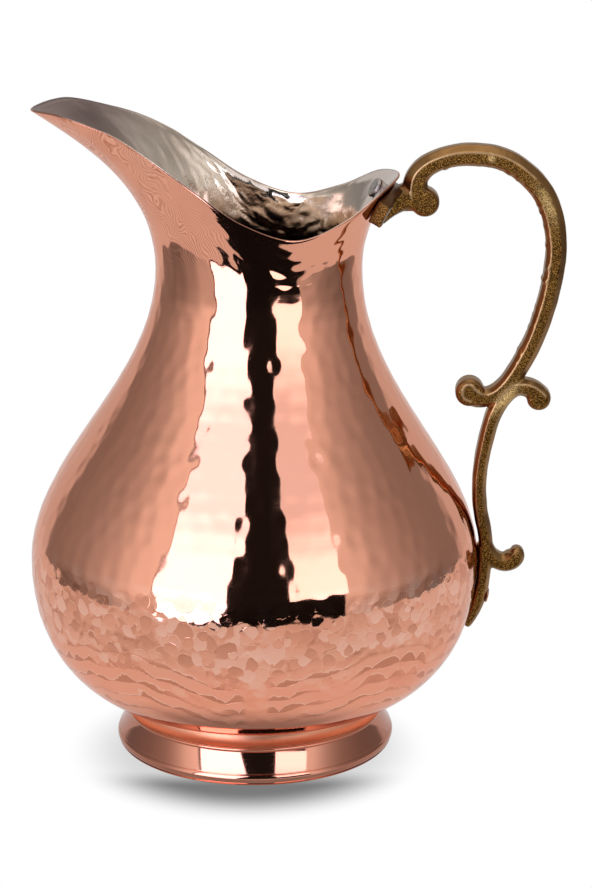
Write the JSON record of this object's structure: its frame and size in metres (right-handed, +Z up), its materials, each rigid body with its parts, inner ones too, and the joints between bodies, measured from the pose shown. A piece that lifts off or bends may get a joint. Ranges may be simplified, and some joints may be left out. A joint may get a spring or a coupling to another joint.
{
  "type": "copper water jug",
  "caption": "Hammered pear-shaped copper water jug with a long open spout, tinned inside, on a spun foot, with a riveted cast brass scroll handle.",
  "frame": {"origin": "centre of the foot's base, on the surface that the jug stands on", "axes": "+Z up along the body's axis; the spout points to -X and the handle to +X, so the jug is symmetric about the XZ plane"},
  "size_m": [0.1952, 0.1648, 0.2404],
  "materials": {
    "copper_hammered": "copper sheet, hand hammered and mirror polished",
    "tin": "hot tinned, wiped, over hammered copper",
    "copper_spun": "spun copper, mirror polished",
    "solder": "soft solder fillet",
    "cast_brass": "sand-cast brass, grainy sides and smoothed bevels",
    "rivet_tinned": "copper rivet, tinned with the inside",
    "rivet_copper": "copper rivet, dulled"
  },
  "bodies": {
    "root": {"body_shell": "copper_hammered", "tin_lining": "tin", "foot_ring": "copper_spun", "foot_solder": "solder", "handle": "cast_brass", "lip_rivets": "rivet_tinned", "tail_rivet": "rivet_copper"}
  },
  "joints": []
}
